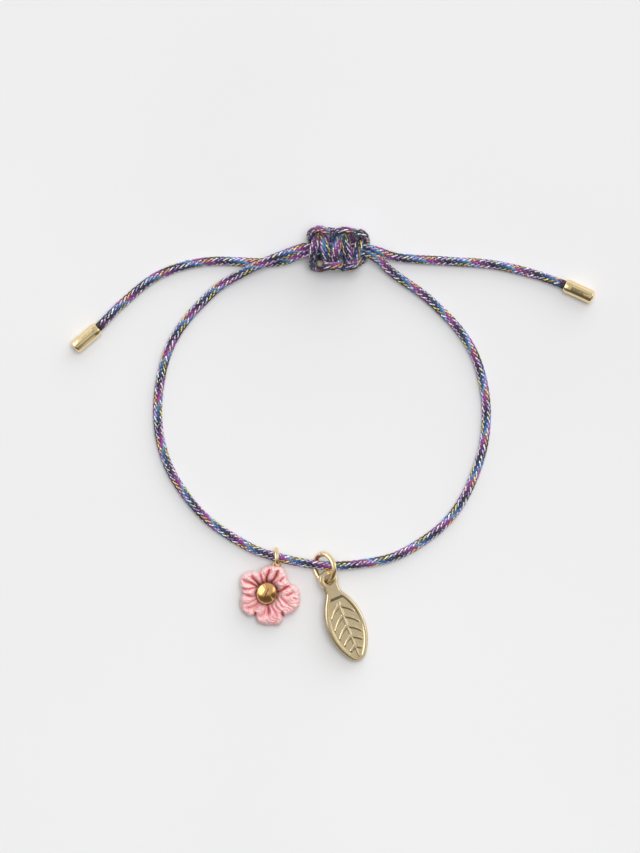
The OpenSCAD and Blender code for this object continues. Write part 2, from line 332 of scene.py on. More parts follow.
class Value:
    """A node's output that Python's operators work on: each adds its Math node."""

    def __init__(self, shader, socket):
        self.shader = shader
        self.socket = socket

    def math(self, operation, *terms):
        """The outcome of a Math node."""
        return self.shader.node("ShaderNodeMath", {"operation": operation}, *terms)

    def __add__(self, other):
        return self.math("ADD", self, other)

    def __sub__(self, other):
        return self.math("SUBTRACT", self, other)

    def __rsub__(self, other):
        return self.math("SUBTRACT", other, self)

    def __mul__(self, other):
        return self.math("MULTIPLY", self, other)

    def clamped(self):
        """The value held between 0 and 1."""
        return self.math("MAXIMUM", self.math("MINIMUM", self, 1), 0)

    def wave(self):
        """0 to 1 and back, once in each whole number."""
        return self.math("SINE", self * TURN) * 0.5 + 0.5


class Shader:
    """The nodes of one material or of the world."""

    def __init__(self, tree):
        self.tree = tree

    def node(self, kind, settings, *values, output=0, **named):
        """A node of any kind: its settings, with a ramp's stops among them, then its inputs in order or
        by name. Gives the output asked for."""
        made = self.tree.nodes.new(kind)
        for key, setting in settings.items():
            if key == "stops":
                elements = made.color_ramp.elements
                while len(elements) < len(setting):
                    elements.new(1)
                for element, (place, colour) in zip(elements, setting):
                    element.position = place
                    element.color = (*colour, 1)
            else:
                setattr(made, key, setting)
        for key, value in [*enumerate(values), *named.items()]:
            self.give(made.inputs[key.replace("_", " ") if isinstance(key, str) else key], value)
        return Value(self, made.outputs[output])

    def give(self, socket, value):
        """Links a value to a socket or sets the socket to a plain one."""
        if isinstance(value, Value):
            self.tree.links.new(value.socket, socket)
        elif isinstance(value, tuple) and len(value) == 3 and len(socket.default_value) == 4:
            socket.default_value = (*value, 1)
        else:
            socket.default_value = value

    def mix(self, factor, a, b, blend="MIX"):
        """Two colours mixed by a factor."""
        mixer = self.tree.nodes.new("ShaderNodeMix")
        mixer.data_type = "RGBA"
        mixer.blend_type = blend
        colour_sockets = [s for s in mixer.inputs if s.type == "RGBA"]
        for socket, value in zip([mixer.inputs[0], *colour_sockets], (factor, a, b)):
            self.give(socket, value)
        return Value(self, next(s for s in mixer.outputs if s.type == "RGBA"))

    def ramp(self, value, *stops):
        """A colour for each value from 0 to 1."""
        return self.node("ShaderNodeValToRGB", {"stops": stops}, value)

    def dye(self, output):
        """The surface's dye attribute: its Color, or its Fac where the dye is one number."""
        return self.node("ShaderNodeAttribute", {"attribute_name": "dye"}, output=output)

    def noise(self, scale, detail=2.0, vector=None, stretch=None):
        """Noise with a feature about every 1/scale metres, and shrunk along X, Y and Z by stretch."""
        vector = vector or self.node("ShaderNodeTexCoord", {}, output="Object")
        if stretch:
            vector = self.node("ShaderNodeVectorMath", {"operation": "MULTIPLY"}, vector, stretch)
        return self.node("ShaderNodeTexNoise", {}, Vector=vector, Scale=scale, Detail=detail)

    def bump(self, height, distance, strength):
        """A surface normal bent by a height, which stands for a distance in metres."""
        return self.node("ShaderNodeBump", {}, Height=height, Distance=distance, Strength=strength)


def material(name, **constants):
    """A material and its shader, with the constant sockets of its surface set."""
    made = bpy.data.materials.new(name)
    made.use_nodes = True
    shader = Shader(made.node_tree)
    shader.surface = made.node_tree.nodes["Principled BSDF"]
    for key, value in constants.items():
        shader.give(shader.surface.inputs[key.replace("_", " ")], value)
    return made, shader


def varying(shader, **values):
    """Links values that change over the surface."""
    for key, value in values.items():
        shader.give(shader.surface.inputs[key.replace("_", " ")], value)


def lay_of(shader):
    """Round and along a yarn: the two coordinates of its UV map."""
    both = shader.node("ShaderNodeUVMap", {"uv_map": "lay"})
    split = shader.node("ShaderNodeSeparateXYZ", {}, both)
    return split, Value(shader, split.socket.node.outputs[1])


def dull_yarn():
    """Matt dyed filament yarn: fine filaments that run a little askew, and uneven dye."""
    made, s = material("dull_yarn", Roughness=0.62, Sheen_Weight=0.25, Sheen_Roughness=0.4)
    around, along = lay_of(s)
    filament = (around * 11 + along * 0.9).wave()
    shade = filament * 0.35 + s.noise(1400, 3) * 0.9 + 0.35
    shaded = s.node("ShaderNodeVectorMath", {"operation": "SCALE"}, s.dye("Color"), Scale=shade)
    varying(s, Base_Color=shaded, Normal=s.bump(filament, 0.00005, 0.8))
    return made


def metallic_yarn():
    """Yarn wrapped in a bright film: fine steps across it catch the light one by one, and its dye is
    painted brighter along the steps and in scattered spots as painted glints.
    """
    made, s = material("metallic_yarn", Specular_IOR_Level=0.8)
    around, along = lay_of(s)
    wrap = (along * 3.1 + around).wave()
    glint = s.noise(2600, 2)
    # Painted glints: spots of this noise, and the wrap's steps, brighten the dye.
    painted_glint = ((glint - 0.4) * 5).clamped()
    shade = wrap * 0.25 + painted_glint * 0.95 + 0.25
    shaded = s.node("ShaderNodeVectorMath", {"operation": "SCALE"}, s.dye("Color"), Scale=shade)
    varying(s, Base_Color=shaded, Metallic=(painted_glint * 0.3 + 0.3).clamped(),
            Roughness=(glint * 0.3 + 0.18).clamped(), Normal=s.bump(wrap + glint, 0.00005, 0.8))
    return made


def core_material():
    """The cord's core, dark and matt, which shows only in the gaps between the yarns."""
    made, s = material("core", Roughness=0.8)
    varying(s, Base_Color=s.ramp(s.noise(1500), (0.3, light(16, 15, 24)), (0.7, light(34, 32, 48))))
    return made


def gold(name, colour, roughness, cut=(0.42, 0.33, 0.19)):
    """Polished plating: fine scratches in the roughness and soft dents that bend the reflections. Where the
    dye is set, the plating takes the darker cut tone and is more matt: on the tag's edge wall partly for
    the cut edge's duller plating and partly as painted reflection of the shadow under the tag, and on the
    bead's wall as painted shade."""
    made, s = material(name, Metallic=1.0, Specular_IOR_Level=0.5)
    scratches = s.noise(900, 4, stretch=(1, 6, 1))
    dents = s.noise(380, 2) + s.noise(1500, 2) * 0.5
    deeper = tuple(c * k for c, k in zip(colour, (0.94, 0.86, 0.72)))
    # The dye's mark: the cut edge's duller plating on the tag's wall, with painted reflection of the shadow
    # under the tag there, and painted shade on the bead's wall.
    cut_edge_and_shade = s.dye("Fac")
    varying(s, Base_Color=s.mix(cut_edge_and_shade, s.mix(s.noise(260, 3), colour, deeper), cut),
            Roughness=(scratches * 0.09 + cut_edge_and_shade * 0.2 + roughness).clamped(),
            Normal=s.bump(dents, 0.00005, 0.5))
    return made


def along_path(path, outward):
    """Square to a path: its sides and its outward directions, and the turn that a direction carried
    freely along the path makes against them, added up ring by ring."""
    way = unit(np.gradient(path, axis=0))
    side = unit(np.cross(outward, way))
    out = np.cross(way, side)
    a, b = way[:-1], way[1:]
    tip = (b * side[:-1]).sum(1) / (1 + (a * b).sum(1))
    carried = side[:-1] - tip[:, None] * (a + b)
    step = np.arctan2((carried * out[1:]).sum(1), (carried * side[1:]).sum(1))
    return side, out, np.r_[0, np.cumsum(step)]


def braided(path, outward, half, pitch, sense, section):
    """Yarns round a cord, all winding one way. Yarn i is at angle sense * distance / pitch + i / 8 turns.
    It lies high over two crossings and low under the next two, so that its lift is a softened square
    wave of its angle. The whole braid turns slowly to and fro, and each yarn strays a little from its
    place. Its own section is a flattened hexagon, wide along the cord's surface."""
    width, thickness = section
    side, out, twist = along_path(path, outward)
    run = travelled(path)
    yarn = np.arange(CARRIERS)[:, None]
    astray = np.sin(run * 2.3 + yarn * 1.9) + np.sin(run * 0.83 + yarn * 4.1)
    angle = sense * TURN * run / pitch + TURN * yarn / CARRIERS
    crossings = angle * 2 * CARRIERS / TURN
    lift = sense * YARN_LIFT * np.tanh(1.6 * np.cos(TURN * (crossings - 0.5) / 4)) / np.tanh(1.6)
    angle = angle + twist + 0.4 * np.sin(run * 0.085) + 0.2 * np.sin(run * 0.31 + 1) + 0.045 * astray
    cos, sin = np.cos(angle)[..., None], np.sin(angle)[..., None]
    reach = half[None] + YARN_CROWN - thickness / 2 - YARN_LIFT + (lift + 0.012 * astray)[..., None]
    middle = path + reach[..., :1] * cos * side + reach[..., 1:] * sin * out
    normal = unit(cos * side * half[None, :, 1:] + sin * out * half[None, :, :1])
    way = unit(np.gradient(middle, axis=1))
    across = unit(np.cross(normal, way))
    normal = np.cross(way, across)
    turn = TURN * (np.arange(YARN_SIDES) + 0.5) / YARN_SIDES
    width = width * (1 + 0.08 * np.sin(run * 3.1 + yarn * 2.7))[..., None, None]
    ring = (np.cos(turn)[:, None] * across[..., None, :] * width / 2
            + np.sin(turn)[:, None] * normal[..., None, :] * thickness / 2)
    points = middle[:, :, None] + ring
    points[..., 2] = np.maximum(points[..., 2], PRESSED_FLAT)
    return points


def tube(path, outward, half, sides):
    """Rings square to a path, half as wide and half as thick as half says."""
    side, out, _ = along_path(path, outward)
    turn = (TURN * np.arange(sides) / sides)[:, None]
    return (path[:, None] + half[:, None, :1] * np.cos(turn) * side[:, None]
            + half[:, None, 1:] * np.sin(turn) * out[:, None])


def dyed(dyes, points, glued, tone):
    """Each yarn's dye times the cord's own tone, with slow changes along it, and darkened by glue."""
    strips, rows, columns = points.shape[:3]
    slow = tone * (1 + 0.12 * np.sin(np.arange(rows) * 0.021 + np.arange(strips)[:, None] * 2.3))
    colour = np.array(dyes)[:, None] * slow[..., None]
    colour = colour + (np.array(GLUED) - colour) * glued[:, None]
    return np.repeat(colour[:, :, None], columns, axis=2)


def braided_cord(name, path, outward, half, pitch, glued, tone, node):
    """One braided cord: its dull yarns, its metallic yarns and the dark core under them."""
    run = travelled(path)
    pieces = []
    for kind, sense, section, dyes, made, stands_for in (
            ("dull", 1, DULL_YARN, DULL_DYES, DULL, [node]),
            ("metallic", -1, METALLIC_YARN, METALLIC_DYES, METALLIC, [])):
        points = braided(path, outward, half, pitch, sense, section)
        piece = surface(f"{name}_{kind}_yarns", points, lay=run, dye=dyed(dyes, points, glued, tone))
        pieces.append(finished(piece, made, "braid", *stands_for))
    sparse = slice(None, None, 4)
    core = tube(path[sparse], outward[sparse], half[sparse] * CORE_SHARE, 10)
    pieces.append(finished(surface(f"{name}_core", core), CORE, "braid"))
    return pieces


def main_cord(caps):
    """The main cord, a little thinner inside the knot and dark with glue at the caps. It is painted paler
    round one place on the right side of the loop, by a bell over the distance from there: painted light."""
    path, = evenly(smooth(CORD_ROUTE, 0.2), YARN_STEP)
    x, y = path[:, 0], path[:, 1]
    left, right = KNOT_AT[0], KNOT_AT[0] + CLOSING_BAR[0]
    inside = (rise(x, left - SQUEEZE_EASE, left) * rise(-x, -right - SQUEEZE_EASE, -right)
              * (y > KNOT_AT[1] - BEND_REACH))
    half = (CORD_D - (CORD_D - SQUEEZED_D) * inside)[:, None] / 2 * np.ones(2)
    mouths = [np.linalg.norm(path - mouth, axis=1) for mouth, _ in CAPS.values()]
    glued = 0.92 * (1 - rise(np.minimum(*mouths), 0.4, 1.6))
    run = travelled(path)
    # Painted light: the tone rises round the right side of the loop.
    tone = CORD_TONE + PALER_BY * np.exp(-((run - PALER_AT) / PALER_REACH) ** 2)
    dull, *others = braided_cord("cord", path, upwards(path), half, BRAID_PITCH, glued, tone, "cord")


def front_bar(t):
    """Half knot t of the strand with its bars in front: it swings from bend to bend once in two half
    knots, and from front to back once in each."""
    turn = np.pi * np.asarray(t, float)
    return np.stack([HALF_KNOT_L * t + BAR_LEAN * np.sin(2 * turn) + BEND_LEAN * np.sin(4 * turn),
                     BEND_REACH * np.cos(turn),
                     -BAR_OFFSET - BAR_DEPTH * np.cos(2 * turn)], axis=-1)


def back_bar(t):
    """The other strand, one half knot further on and with front and back exchanged."""
    return front_bar(t) * (1, 1, -1) + (HALF_KNOT_L, 0, 0)


def knot_cord():
    """The short cord tied round both strands: its front strand, a closing bar behind, its back strand
    and the end that comes up to the front. A strand is wide and thin where it bends round or lies as a
    bar, and narrow and thick between. Both of its ends are cut and melted."""
    front = np.linspace(0.12, HALF_KNOTS - 0.1, 260)
    back = np.linspace(HALF_KNOTS - 0.9, -0.6, 260)
    bar = np.array(CLOSING_BAR)
    closing = smooth([front_bar(front[-1]), bar + (-0.25, -1.9, 0.05), bar, bar + (0.05, 1.9, 0.15),
                      bar + (0.1, 3.0, 1.8), back_bar(back[0])], 0.1)[1:-1]
    end = smooth([back_bar(back[-1]), (1.2, -2.2, -1.25), (1.35, -2.9, -0.3), (1.75, -2.9, 0.8),
                  (2.1, -2.64, 1.85)], 0.1)[1:]
    path = np.vstack([front_bar(front), closing, back_bar(back), end])
    wide = np.concatenate([0.98 + 0.18 * np.cos(4 * np.pi * front), np.ones(len(closing)),
                           0.98 + 0.18 * np.cos(4 * np.pi * back), np.ones(len(end))]) * KNOT_D / 2
    half = np.stack([wide, KNOT_D**2 / 4 / wide], axis=1)
    path, half = evenly(path, YARN_STEP, half)
    outward = path * (0, 1, 1)
    run = travelled(path)
    glued = 0.85 * (1 - rise(np.minimum(run, run[-1] - run), 0.3, 1.1))
    path = tugged(path + KNOT_AT)
    tone = np.full(len(path), KNOT_TONE)
    braided_cord("knot", path, outward, half, KNOT_BRAID_PITCH, glued, tone, "knot_cord")
    for name, end, before, reach in (("knot_end_front", path[-1], path[-5], 0.92),
                                     ("knot_end_back", path[0], path[4], 0.82)):
        finished(melted_end(name, end, unit(end - before), reach), MELTED, "braid")


def tugged(points):
    """Points moved by every tug, felt less with the square of the distance from its place."""
    for place, tug, reach in TUGS:
        near = np.exp(-((points[:, :2] - place) ** 2).sum(axis=1) / reach**2)
        points = points + near[:, None] * tug
    return points


def melted_end(name, end, way, reach):
    """A cord's end melted to a lumpy bead: a flattened ball whose radius swells and dips with a few
    waves round and over it, scorched towards its rim."""
    tilt, turn = np.linspace(0.03, np.pi - 0.03, 24)[:, None], TURN * np.arange(36) / 36
    radius = reach * (1 + 0.04 * np.sin(3 * turn + 2 * tilt) + 0.03 * np.sin(5 * turn - 3 * tilt))
    side = unit(np.cross(way, (0.3, 0.2, 1)))
    other = np.cross(way, side)
    grid = radius * np.sin(tilt)
    points = (end + grid[..., None] * (np.cos(turn)[:, None] * side + np.sin(turn)[:, None] * other)
              - (0.42 * radius * np.cos(tilt))[..., None] * way)
    scorched = rise(grid + 0.06 * np.sin(4 * turn), 0.52, 0.74)
    return surface(name, points, dye=np.repeat(scorched[..., None], 3, axis=-1))


def lathe(profile, across=48):
    """A profile of radius and height, turned about Z. It runs up where it faces outwards."""
    r, z = np.asarray(profile, float).T[..., None]
    turn = TURN * np.arange(across) / across
    return np.stack(np.broadcast_arrays(r * np.cos(turn), r * np.sin(turn), z), axis=-1)


def corner(middle, radius, start, end, steps=8):
    """Points of a round corner in a profile, from one angle to another, in degrees."""
    angle = np.radians(np.linspace(start, end, steps))
    return [(middle[0] + radius * np.cos(a), middle[1] + radius * np.sin(a)) for a in angle]


def cap(name, mouth, turn):
    """A drawn cap: a bore with a rounded rim, a straight wall, a rounded shoulder and a small dimple
    in the closed end."""
    r = CAP_D / 2
    profile = [(CAP_BORE_R, CAP_BORE_L), (CAP_BORE_R, 0.3),
               *corner((CAP_BORE_R + CAP_RIM_R, CAP_RIM_R), CAP_RIM_R, 180, 360),
               (r, 0.4), (r, 1.5), (r, 3.2),
               *corner((r - CAP_SHOULDER_R, CAP_L - CAP_SHOULDER_R), CAP_SHOULDER_R, 0, 90, 12),
               *corner((DIMPLE_R, CAP_L - DIMPLE_EDGE_R), DIMPLE_EDGE_R, 90, 180, 4),
               (0.3, CAP_L - 0.2), (POLE_R, CAP_L - DIMPLE_DEPTH)]
    points = turned(lathe(profile), y=90, z=turn) + mouth
    return finished(surface(f"{name}_drawn", points), GOLD, "polished_gold", name)


def wire_ring(name, middle, outer_d, wire, node, **turns):
    """A jump ring: round wire bent almost full circle, with a hairline cut where its ends meet."""
    half_cut = RING_CUT / outer_d
    angle = np.linspace(half_cut, TURN - half_cut, 120) + TURN / 4
    path = np.stack([np.cos(angle), np.sin(angle), 0 * angle], axis=-1) * (outer_d - wire) / 2
    points = tube(path, upwards(path), np.full((len(path), 2), wire / 2), 20)
    finished(surface(name, turned(points, **turns) + middle), GOLD, "polished_gold", node)


def eye(middle_r, half_w, half_h, steps, sides, power=1.0):
    """A closed ring about Z. Its section is an ellipse, or a rounded rectangle where the sizes of the
    section's cosine and sine are raised to a power under 1."""
    turn = (TURN * np.arange(steps) / steps)[::-1, None]
    bend = TURN * np.arange(sides) / sides
    off, z = (half * np.sign(wave) * np.abs(wave) ** power
              for half, wave in ((half_w, np.cos(bend)), (half_h, np.sin(bend))))
    r = middle_r + off
    return np.stack(np.broadcast_arrays(r * np.cos(turn), r * np.sin(turn), z), axis=-1)


def in_flower(points):
    """From the flower's own frame, with its eye on +Y and its back at Z = 0, to the bracelet's."""
    lift = DISC_D / 2 * np.sin(np.radians(FLOWER_TILT))
    return turned(points, x=FLOWER_TILT, z=FLOWER_TURN) + (*FLOWER_AT, lift)


def rim_reach(angle):
    """How far the petals reach in each direction: the smoothed outline, closed."""
    around = np.array([*RIM[-2:], *RIM, *RIM[:2]])
    direction = np.radians(around[:, 0])
    outline = smooth(around[:, 1:] * np.stack([np.cos(direction), np.sin(direction)], axis=1), 0.1)
    return np.interp(angle, np.degrees(np.arctan2(outline[:, 1], outline[:, 0])) % 360,
                     np.hypot(outline[:, 0], outline[:, 1]), period=360)


def creased(angle, r):
    """How deep each point lies in a crease, and how much painted shade it takes there: a wide soft bell and
    a narrow one over the distance to the crease's line, fading at both its ends, and the deepest crease
    counts. The line wavers on its way, a weaker crease is narrower, and the painted shade thins out towards
    its end."""
    deep, dark = np.zeros((2, *np.broadcast(angle, r).shape))
    for start, near, end, far, strength in CREASES:
        bend = (end - start + 180) % 360 - 180
        gone = np.clip((r - near) / (far - near), 0, 1)
        line = start + bend * gone + 2.4 * np.sin(1.9 * r + start)
        off = np.radians((angle - line + 180) % 360 - 180) * r / (0.4 + 0.6 * strength)
        bell = 0.7 * np.exp(-(off / 0.42) ** 2) + 0.3 * np.exp(-(off / 0.15) ** 2)
        cut = strength * bell * rise(r, near - 0.5, near + 0.1) * (1 - rise(r, far - 0.5, far + 0.7))
        deep = np.maximum(deep, cut)
        dark = np.maximum(dark, cut * (1 - 0.6 * gone))
    return deep, dark


def petals():
    """Gathered petals as one closed shell: out along the back, then in over the top, with u as the share of
    the way to the rim. The top swells from the bead to the middle of the petals, sinks a little and rolls
    down to the rim as a quarter ellipse. Folds and pleats, which are sizes of sines that stray along the
    way, ripple it, and the creases are cut into it. The dye holds the painted shade of the creases and of
    the hollows of the gathers, the painted shade of the crevice round the bead, and the painted highlight
    on the ridges, which are points higher than those beside them, and towards the rim."""
    angle = np.arange(0, 360, 0.5)
    back = np.linspace(0.05, 0.98, 8)[:, None]
    top = 1 - 0.95 * np.linspace(0, 1, 84)[:, None] ** 1.35
    turn = np.radians(angle)
    u = np.vstack([back, top])
    crimp = 0.05 * np.sin(23 * turn + 3 * np.sin(2 * turn)) + 0.03 * np.sin(47 * turn + 1)
    r = u * (rim_reach(angle) + crimp)
    over = np.r_[np.zeros(len(back)), np.ones(len(top))][:, None]
    roll = np.sqrt(np.clip(1 - (np.maximum(u - 0.86, 0) / 0.14) ** 2, 0, 1))
    swell = 0.85 + 1.05 * rise(r, 1.65, 3.0) - 0.3 * rise(r, 3.6, 5.6)
    stray = 0.5 * np.sin(3.1 * r + 4 * turn) + 0.35 * np.sin(5.3 * r - 7 * turn)
    folds = np.abs(np.sin(10 * turn + 1.3 * np.sin(2 * turn + 1) + 0.35 * r + stray)) - 0.64
    pleats = np.abs(np.sin(21 * turn + 2.2 * np.sin(3 * turn) - 0.8 * r + 2 * stray)) - 0.64
    folds = 0.15 * folds * (1 + 0.8 * np.sin(5 * turn + 2 + r))
    pleats = 0.11 * pleats * (1 + 0.9 * np.sin(7 * turn - 1.6 * r))
    ripple = folds + pleats + 0.09 * np.sin(9 * turn + 2.1 * r)
    deep, dark = creased(angle, r)
    height = (swell + ripple * rise(r, 2.0, 3.6)) * (1 - 0.6 * deep) * roll
    beside = sum(np.roll(height, k, axis=1) for k in (-15, -9, -5, 5, 9, 15)) / 6
    sunk = beside - height
    under = 0.12 * rise(u, 0.6, 1)
    z = DISC_T + 0.06 + under + height * over
    own = np.radians(angle - FLOWER_TURN)
    points = np.stack([r * np.cos(own), r * np.sin(own), z], axis=-1)
    points = in_flower(points) + u[..., None] * RIM_SHIFT
    # Painted shade in the crevice round the bead.
    near = (1 - rise(r, 1.9, 2.5)) * over
    # Painted highlight on points higher than those beside them and towards the rim.
    ridge_highlight = np.clip(rise(u, 0.72, 0.95) * 0.6 - 7 * sunk, 0, 1) * over
    # Painted shade in the creases and in the hollows of the gathers.
    shadow = np.clip(0.9 * dark + 0.6 * sunk - 0.08, 0, 1) * over + (1 - over) * 0.5
    dye = np.stack(np.broadcast_arrays(shadow, near, ridge_highlight), axis=-1)
    piece = surface("flower_petals_gathered", points, dye=dye)
    finished(piece, PETAL, "pink_petals", "flower_petals")


def bead():
    """The domed bead, a little longer than wide: a rounded foot, a straight wall, a rounded shoulder and a
    crown that is the top of a ball, up to 0.02 radians from its pole. Its wall is darker, as the dye says:
    painted shade where the bead sits down among the petals."""
    ball_r = (BEAD_D**2 / 4 + BEAD_CROWN**2) / (2 * BEAD_CROWN)
    edge = np.arcsin(BEAD_D / 2 / ball_r)
    out = BEAD_D / 2 - BEAD_SHOULDER_R * np.sin(edge)
    up = BEAD_H - BEAD_CROWN - BEAD_SHOULDER_R * np.cos(edge)
    foot = out + BEAD_SHOULDER_R - BEAD_FOOT_R, BEAD_FOOT_R
    crown = np.degrees([edge, 0.02])
    profile = np.array([(POLE_R, 0), (1.0, 0), *corner(foot, BEAD_FOOT_R, -90, 0, 6),
                        *corner((out, up), BEAD_SHOULDER_R, 0, 88 - crown[0], 10),
                        *corner((0, BEAD_H - ball_r), ball_r, *(90 - crown), 30)])
    points = in_flower(lathe(profile, 72) * BEAD_STRETCH + (0, 0, BEAD_Z))
    # Painted shade: the wall up to just above the shoulder's start takes the dark cut tone.
    cut_edge_and_shade = 0.9 * (profile[:, 1] < up + 0.33)
    dye = np.broadcast_to(cut_edge_and_shade[:, None, None], points.shape)
    finished(surface("flower_bead_dome", points, dye=dye), GOLD_BEAD, "polished_gold", "flower_bead")


def flower_mount():
    """The disc behind the petals, and the stem and the eye that are soldered to it."""
    r, middle = DISC_D / 2, DISC_T / 2
    disc = lathe([(POLE_R, 0), *corner((r - DISC_EDGE_R, DISC_EDGE_R), DISC_EDGE_R, -90, 0),
                  *corner((r - DISC_EDGE_R, DISC_T - DISC_EDGE_R), DISC_EDGE_R, 0, 90),
                  (POLE_R, DISC_T)])
    finished(surface("flower_disc", in_flower(disc)), GOLD, "polished_gold", "flower_mount")
    loop = eye(EYE_MIDDLE_R, EYE_WIRE / 2, EYE_WIRE / 2, 60, 14) + (0, EYE_REACH, middle)
    # The eye takes the bead's more orange gold, not the disc's and stem's: painted reflection of the pink
    # petals on it.
    finished(surface("flower_eye", in_flower(loop), rings=True), GOLD_BEAD, "polished_gold")
    y = np.linspace(r - 0.5, EYE_REACH - EYE_MIDDLE_R, 12)
    path = np.stack([0 * y, y, 0 * y + middle], axis=-1)
    half = np.stack([0.5 - 0.22 * rise(np.arange(12.0), 4, 11), 0 * y + EYE_WIRE / 2], axis=1)
    stem = tube(path, upwards(path), half, 16)
    finished(surface("flower_stem", in_flower(stem)), GOLD, "polished_gold")


def in_tag(points):
    """From the tag's own frame, with its hole at the origin and its tip on +X, to the bracelet's."""
    return turned(turned(points, y=TAG_PITCH), x=-TAG_ROLL, z=TAG_TURN - 90) + TAG_AT


def leaf_half_width(x):
    """Half the leaf's width: two side arcs, met without a corner by a round end at each tip, and the
    neck's half width where that is more, blended by a soft maximum."""
    half_w, end_x = TAG_W / 2, TAG_L / 2 - TAG_END_R
    side_r = (half_w**2 + end_x**2 - TAG_END_R**2) / (2 * (half_w - TAG_END_R))
    touch = end_x * side_r / (side_r - TAG_END_R)
    along = np.abs(x - TAG_HOLE_TO_BODY)
    side = np.sqrt(np.maximum(side_r**2 - along**2, 0)) - side_r + half_w
    end = np.sqrt(np.maximum(TAG_END_R**2 - (along - end_x) ** 2, 0))
    leaf = np.where(along < touch, side, end)
    neck = TAG_NECK_W / 2 * (1 - rise(x, 3.0, 6.0))
    return np.logaddexp(leaf * 5, neck * 5) / 5 * (x < TAG_HOLE_TO_BODY) + leaf * (x >= TAG_HOLE_TO_BODY)


def veins(x, y):
    """Raised leaf veins: a midrib that tapers to the tip, and side veins that leave it at even steps,
    bend forwards with the square of their distance from it and taper too."""
    spread = np.abs(y)
    rib = np.exp(-(y / (0.42 - 0.02 * x)) ** 4)
    left_at = (x - 0.42 * spread - 0.17 * spread**2 - FIRST_VEIN_AT) / VEIN_STEP
    step = np.clip(np.round(left_at), 0, SIDE_VEINS - 1)
    branch = np.exp(-((left_at - step) * 1.6 / (0.27 - 0.04 * spread)) ** 4)
    return np.maximum(rib, branch)


def tag_body():
    """The tag's body: a flat loop of top, rounded edge and back at each step along it. Inside a raised
    border the top is sunk, and the veins stand in the sunk field. The dye marks the edge's wall, which is
    darker partly as the cut edge's duller plating and partly as painted reflection of the shadow under the
    tag."""
    start, tip = 0.95, TAG_HOLE_TO_BODY + TAG_L / 2 - 0.004
    x = start + (tip - start) * (1 - (1 - np.linspace(0, 1, 260)) ** 1.6)
    half = leaf_half_width(x)
    slope = np.clip(np.gradient(half, x), -3, 3)[:, None]
    x, half = x[:, None], half[:, None]
    top = np.linspace(-1, 1, 110)
    back = top[::-5]
    roll = np.radians(np.linspace(90, -90, 9)[1:-1])
    radius = np.minimum(TAG_EDGE_R, half * 0.5)
    flat = half - radius
    edge = flat + radius * np.cos(roll)
    y = np.concatenate([top * flat, edge, back * flat, -edge[:, ::-1]], axis=1)
    edge_z = TAG_T / 2 * np.sin(roll)
    z = np.concatenate([0 * top + TAG_T / 2, edge_z, 0 * back - TAG_T / 2, edge_z[::-1]])
    z = np.broadcast_to(z, y.shape).copy()
    top_y = y[:, :len(top)]
    inward = (half - np.abs(top_y)) / np.sqrt(1 + slope**2)
    field = rise(inward, *FIELD_IN) * rise(x, *FIELD_ALONG)
    relief = veins(x, top_y) * rise(inward, *VEINS_IN) * rise(x, *VEINS_ALONG)
    z[:, :len(top)] += TAG_FIELD_DEPTH * field * (relief - 1)
    # The edge wall's darker tone: partly the cut edge's duller plating, partly painted reflection of the
    # shadow under the tag.
    cut_edge_and_shade = np.clip(1.25 - np.abs(z / TAG_T) * 2.8, 0, 1) * (np.abs(y) > flat)
    points = np.stack(np.broadcast_arrays(x, y, z), axis=-1)[:, ::-1]
    dye = np.repeat(cut_edge_and_shade[:, ::-1, None], 3, axis=2)
    finished(surface("tag_body", in_tag(points), dye=dye), PALE_GOLD, "pale_gold", "tag")


def tag_eye():
    """The tag's eye, round its hole: as thick as the tag, with rounded edges."""
    hole_r = TAG_HOLE_D / 2
    loop = eye((TAG_EYE_R + hole_r) / 2, (TAG_EYE_R - hole_r) / 2, TAG_T / 2, 72, 28, power=0.45)
    finished(surface("tag_eye", in_tag(loop), rings=True), PALE_GOLD, "pale_gold")


def petal_material():
    """Pink enamelled petals: rose red in the gathers, brown round the bead, paler over the swells, pinker
    on the lower petals, and almost cream at the rim and where the enamel is thin. The red and brown are
    painted shade of the creases, the hollows and the crevice round the bead; the paler swells and rim are a
    painted highlight."""
    made, s = material("petal", Roughness=0.38, Coat_Weight=0.25, Coat_Roughness=0.25,
                       Subsurface_Weight=0.15, Subsurface_Scale=0.0006)
    shade = s.node("ShaderNodeSeparateColor", {}, s.dye("Color"))
    near, ridge_highlight = (Value(s, shade.socket.node.outputs[k]) for k in (1, 2))
    cloud = s.noise(520, 3)
    # Painted shade: the tone runs from pale pink to brown as the dye's crease and hollow shade rises.
    tone = s.ramp((shade * 0.85 + cloud * 0.45 - 0.17).clamped(),
                  (0.0, light(250, 202, 203)), (0.25, light(243, 175, 180)), (0.5, light(228, 138, 144)),
                  (0.75, light(192, 82, 82)), (1.0, light(152, 50, 46)))
    place = s.node("ShaderNodeTexCoord", {}, output="Object")
    y = s.node("ShaderNodeSeparateXYZ", {}, place, output="Y") * (1 / MM)
    lower = ((FLOWER_AT[1] - 1 - y) * 0.22).clamped() * ((cloud - 0.3) * 2.5).clamped()
    tone = s.mix((lower * (1 - shade) * 0.8).clamped(), tone, light(234, 142, 160))
    # Painted shade round the bead: brown where the dye's nearness to the bead is high.
    tone = s.mix((near * 0.95).clamped(), tone, light(138, 64, 48))
    thin = ((s.noise(900, 2) - 0.52) * 5).clamped()
    tone = s.mix(thin * 0.55, tone, light(240, 212, 182))
    # Painted highlight over the ridges and towards the rim.
    tone = s.mix((ridge_highlight * cloud * 0.65).clamped(), tone, light(252, 216, 212))
    varying(s, Base_Color=tone, Normal=s.bump(s.noise(2200, 3), 0.00004, 0.5))
    return made


